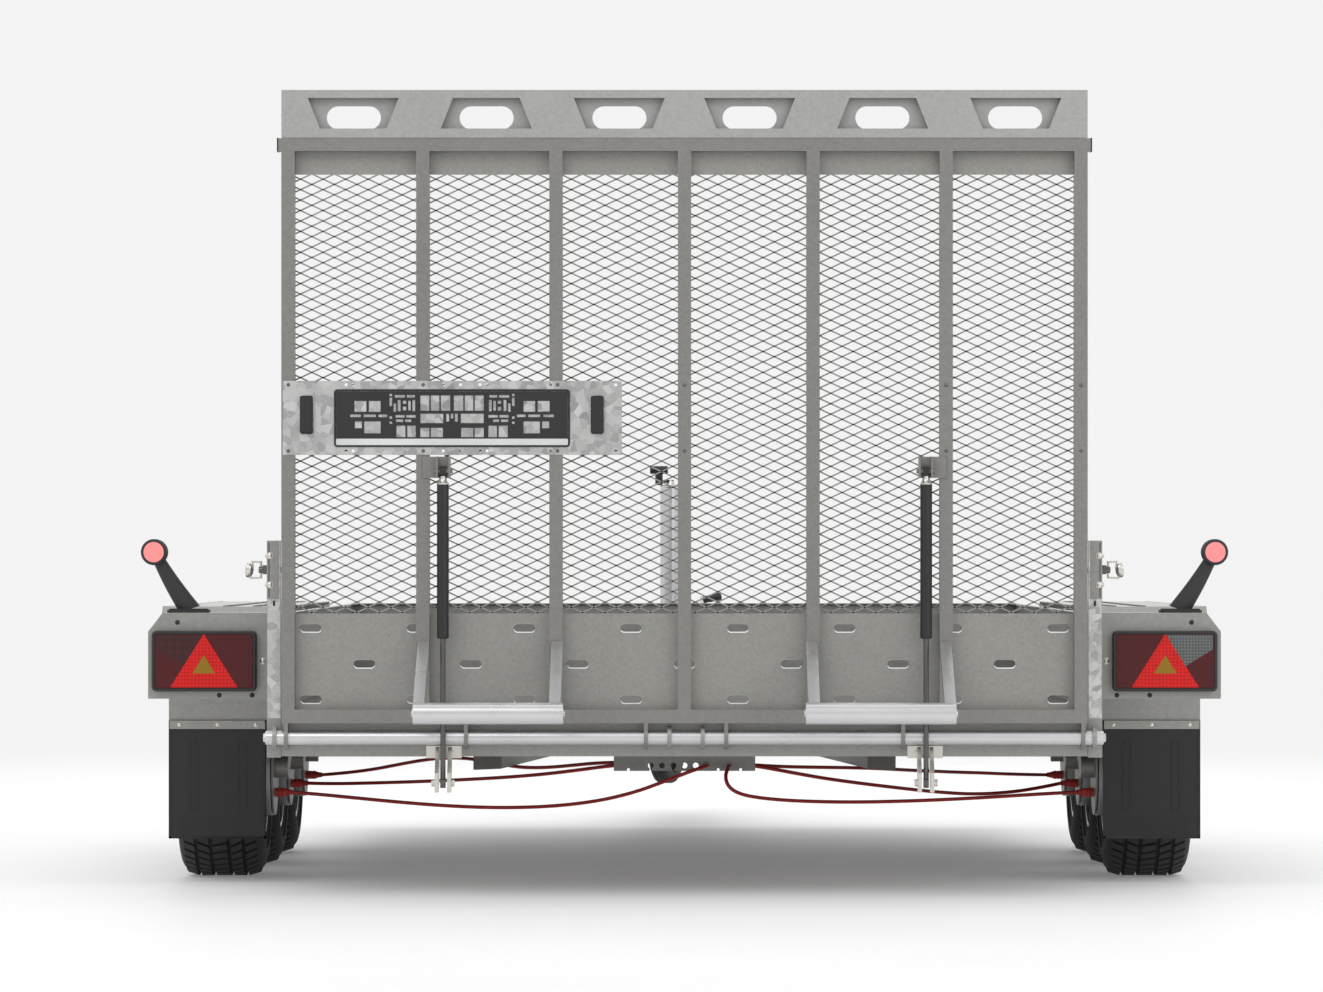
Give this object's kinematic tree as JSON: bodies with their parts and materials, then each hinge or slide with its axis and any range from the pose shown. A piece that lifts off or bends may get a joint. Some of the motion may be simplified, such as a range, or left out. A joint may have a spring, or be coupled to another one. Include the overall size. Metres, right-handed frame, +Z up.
{
  "type": "livestock trailer",
  "caption": "Open flatbed trailer on three close axles with low sides, a raised mesh loading ramp held by gas springs, rear lamp boxes, overrun coupling and jockey wheel.",
  "frame": {"origin": "centre of the trailer's bounding box in plan, on the ground under the tyres", "axes": "+X to the right, +Y forward in the towing direction, +Z up"},
  "size_m": [2.482, 5.5261, 1.82],
  "materials": {
    "galvanised_steel": "hot-dip galvanised",
    "galvanised_sheet": "galvanised sheet, satin",
    "bright_tube": "bright zinc",
    "zinc_hardware": "zinc plated",
    "deck_plywood": "phenolic film, anti-slip",
    "black_rubber": "matt",
    "black_plastic": "fine grained",
    "lamp_lens": "red, clear gloss",
    "red_cable": "smooth sheath",
    "red_rubber": "matt",
    "black_enamel": "satin black",
    "spring_rod_steel": "dark hard chrome",
    "tyre_rubber": "matt",
    "silver_wheel": "silver paint",
    "cast_coupling": "galvanised casting"
  },
  "bodies": {
    "chassis": {"chassis_frame": "galvanised_steel", "rear_beam": "galvanised_steel", "drawbar": "galvanised_steel", "deck_boards": "deck_plywood", "body_panels": "galvanised_sheet", "fenders": "galvanised_sheet", "mudflaps": "black_rubber", "stub_axles": "galvanised_steel", "lamp_boxes": "galvanised_sheet", "tail_lamp_housings": "black_plastic", "lamp_lenses": "lamp_lens", "marker_lamps": "black_rubber", "hinge_tube": "bright_tube", "gas_spring_lower_brackets": "galvanised_steel", "chassis_fasteners": "zinc_hardware", "brake_linkage": "galvanised_steel", "brake_cables": "red_cable", "cable_boots": "red_rubber", "jockey_outer_tube": "galvanised_steel", "overrun_housing": "galvanised_steel", "drawtube_gaiter": "black_rubber"},
    "ramp": {"ramp_frame": "galvanised_sheet", "ramp_sheets": "galvanised_sheet", "ramp_mesh": "galvanised_sheet", "ramp_lip": "galvanised_sheet", "ramp_support_feet": "bright_tube", "number_plate_carrier": "galvanised_sheet", "number_plate_holder": "black_plastic", "ramp_plastic_fittings": "black_plastic", "ramp_fasteners": "zinc_hardware"},
    "gas_spring_cylinder_left": {"gas_spring_cylinder_left": "black_enamel"},
    "gas_spring_rod_left": {"gas_spring_rod_left": "spring_rod_steel"},
    "ramp_latch_left": {"ramp_latch_left": "zinc_hardware"},
    "swing_arm_rear_left": {"swing_arm_rear_left": "galvanised_steel"},
    "road_wheel_rear_left": {"tyre_rear_left": "tyre_rubber", "wheel_rear_left": "silver_wheel"},
    "swing_arm_middle_left": {"swing_arm_middle_left": "galvanised_steel"},
    "road_wheel_middle_left": {"tyre_middle_left": "tyre_rubber", "wheel_middle_left": "silver_wheel"},
    "swing_arm_front_left": {"swing_arm_front_left": "galvanised_steel"},
    "road_wheel_front_left": {"tyre_front_left": "tyre_rubber", "wheel_front_left": "silver_wheel"},
    "gas_spring_cylinder_right": {"gas_spring_cylinder_right": "black_enamel"},
    "gas_spring_rod_right": {"gas_spring_rod_right": "spring_rod_steel"},
    "ramp_latch_right": {"ramp_latch_right": "zinc_hardware"},
    "swing_arm_rear_right": {"swing_arm_rear_right": "galvanised_steel"},
    "road_wheel_rear_right": {"tyre_rear_right": "tyre_rubber", "wheel_rear_right": "silver_wheel"},
    "swing_arm_middle_right": {"swing_arm_middle_right": "galvanised_steel"},
    "road_wheel_middle_right": {"tyre_middle_right": "tyre_rubber", "wheel_middle_right": "silver_wheel"},
    "swing_arm_front_right": {"swing_arm_front_right": "galvanised_steel"},
    "road_wheel_front_right": {"tyre_front_right": "tyre_rubber", "wheel_front_right": "silver_wheel"},
    "jockey_crank": {"jockey_crank": "black_plastic"},
    "jockey_leg": {"jockey_leg": "zinc_hardware"},
    "jockey_wheel": {"jockey_wheel": "black_rubber"},
    "coupling_head": {"coupling_head": "cast_coupling"},
    "coupling_lever": {"coupling_lever": "zinc_hardware"},
    "handbrake_lever": {"handbrake_lever": "zinc_hardware"}
  },
  "joints": [
    {"name": "ramp_hinge", "type": "hinge", "parent": "chassis", "child": "ramp", "pos_m": [0, -2.42893, 0.359], "axis": [1, 0, 0], "range_deg": [0, 104]},
    {"name": "gas_spring_cylinder_left_pivot", "type": "hinge", "parent": "ramp", "child": "gas_spring_cylinder_left", "pos_m": [-0.544, -2.46893, 0.96], "axis": [1, 0, 0], "range_deg": [-5.74, 0.5]},
    {"name": "gas_spring_rod_left_slide", "type": "slide", "parent": "gas_spring_cylinder_left", "child": "gas_spring_rod_left", "axis": [0, 0, 1], "range_m": [-0.002, 0.1582]},
    {"name": "ramp_latch_left_pull", "type": "slide", "parent": "chassis", "child": "ramp_latch_left", "axis": [-1, 0, 0], "range_m": [0, 0.015], "stiffness_N_per_m": 2000, "springref_m": -0.005},
    {"name": "swing_arm_rear_left_torsion", "type": "hinge", "parent": "chassis", "child": "swing_arm_rear_left", "pos_m": [-0.95, -1.31892, 0.313], "axis": [1, 0, 0], "range_deg": [-8, 8], "stiffness_Nm_per_rad": 9000},
    {"name": "road_wheel_rear_left_spin", "type": "hinge", "parent": "swing_arm_rear_left", "child": "road_wheel_rear_left", "pos_m": [-1.1075, -1.44893, 0.2625], "axis": [1, 0, 0], "continuous": true},
    {"name": "swing_arm_middle_left_torsion", "type": "hinge", "parent": "chassis", "child": "swing_arm_middle_left", "pos_m": [-0.95, -0.69893, 0.313], "axis": [1, 0, 0], "range_deg": [-8, 8], "stiffness_Nm_per_rad": 9000},
    {"name": "road_wheel_middle_left_spin", "type": "hinge", "parent": "swing_arm_middle_left", "child": "road_wheel_middle_left", "pos_m": [-1.1075, -0.82893, 0.2625], "axis": [1, 0, 0], "continuous": true},
    {"name": "swing_arm_front_left_torsion", "type": "hinge", "parent": "chassis", "child": "swing_arm_front_left", "pos_m": [-0.95, -0.07892, 0.313], "axis": [1, 0, 0], "range_deg": [-8, 8], "stiffness_Nm_per_rad": 9000},
    {"name": "road_wheel_front_left_spin", "type": "hinge", "parent": "swing_arm_front_left", "child": "road_wheel_front_left", "pos_m": [-1.1075, -0.20892, 0.2625], "axis": [1, 0, 0], "continuous": true},
    {"name": "gas_spring_cylinder_right_pivot", "type": "hinge", "parent": "ramp", "child": "gas_spring_cylinder_right", "pos_m": [0.544, -2.46893, 0.96], "axis": [1, 0, 0], "range_deg": [-5.74, 0.5]},
    {"name": "gas_spring_rod_right_slide", "type": "slide", "parent": "gas_spring_cylinder_right", "child": "gas_spring_rod_right", "axis": [0, 0, 1], "range_m": [-0.002, 0.1582]},
    {"name": "ramp_latch_right_pull", "type": "slide", "parent": "chassis", "child": "ramp_latch_right", "axis": [1, 0, 0], "range_m": [0, 0.015], "stiffness_N_per_m": 2000, "springref_m": -0.005},
    {"name": "swing_arm_rear_right_torsion", "type": "hinge", "parent": "chassis", "child": "swing_arm_rear_right", "pos_m": [0.95, -1.31892, 0.313], "axis": [1, 0, 0], "range_deg": [-8, 8], "stiffness_Nm_per_rad": 9000},
    {"name": "road_wheel_rear_right_spin", "type": "hinge", "parent": "swing_arm_rear_right", "child": "road_wheel_rear_right", "pos_m": [1.1075, -1.44893, 0.2625], "axis": [1, 0, 0], "continuous": true},
    {"name": "swing_arm_middle_right_torsion", "type": "hinge", "parent": "chassis", "child": "swing_arm_middle_right", "pos_m": [0.95, -0.69893, 0.313], "axis": [1, 0, 0], "range_deg": [-8, 8], "stiffness_Nm_per_rad": 9000},
    {"name": "road_wheel_middle_right_spin", "type": "hinge", "parent": "swing_arm_middle_right", "child": "road_wheel_middle_right", "pos_m": [1.1075, -0.82893, 0.2625], "axis": [1, 0, 0], "continuous": true},
    {"name": "swing_arm_front_right_torsion", "type": "hinge", "parent": "chassis", "child": "swing_arm_front_right", "pos_m": [0.95, -0.07892, 0.313], "axis": [1, 0, 0], "range_deg": [-8, 8], "stiffness_Nm_per_rad": 9000},
    {"name": "road_wheel_front_right_spin", "type": "hinge", "parent": "swing_arm_front_right", "child": "road_wheel_front_right", "pos_m": [1.1075, -0.20892, 0.2625], "axis": [1, 0, 0], "continuous": true},
    {"name": "jockey_crank_turn", "type": "hinge", "parent": "chassis", "child": "jockey_crank", "pos_m": [-0.04, 1.63108, 0.98], "axis": [0, 0, 1], "range_deg": [-5760, 230]},
    {"name": "jockey_leg_lift", "type": "slide", "parent": "chassis", "child": "jockey_leg", "axis": [0, 0, 1], "range_m": [-0.2005, 0.0081]},
    {"name": "jockey_wheel_spin", "type": "hinge", "parent": "jockey_leg", "child": "jockey_wheel", "pos_m": [-0.05236, 1.59303, 0.215], "axis": [0.9511, -0.309, 0], "continuous": true},
    {"name": "overrun_slide", "type": "slide", "parent": "chassis", "child": "coupling_head", "axis": [0, 1, 0], "range_m": [-0.09, 0], "stiffness_N_per_m": 2500, "springref_m": 0.02, "deforming": ["drawtube_gaiter"]},
    {"name": "coupling_lever_lift", "type": "hinge", "parent": "coupling_head", "child": "coupling_lever", "pos_m": [0, 2.65908, 0.442], "axis": [1, 0, 0], "range_deg": [-45, 0], "stiffness_Nm_per_rad": 3, "springref_deg": 11.46},
    {"name": "handbrake_lift", "type": "hinge", "parent": "chassis", "child": "handbrake_lever", "pos_m": [0.05, 2.01107, 0.448], "axis": [1, 0, 0], "range_deg": [0, 40]}
  ],
  "couplings": [
    {"joint": "gas_spring_cylinder_left_pivot", "follows": "ramp_hinge", "ratio": -0.054077},
    {"joint": "gas_spring_rod_left_slide", "follows": "ramp_hinge", "m_per_rad": 0.086581},
    {"joint": "gas_spring_cylinder_right_pivot", "follows": "ramp_hinge", "ratio": -0.054077},
    {"joint": "gas_spring_rod_right_slide", "follows": "ramp_hinge", "m_per_rad": 0.086581},
    {"joint": "jockey_leg_lift", "follows": "jockey_crank_turn", "m_per_rad": 0.0019894}
  ]
}
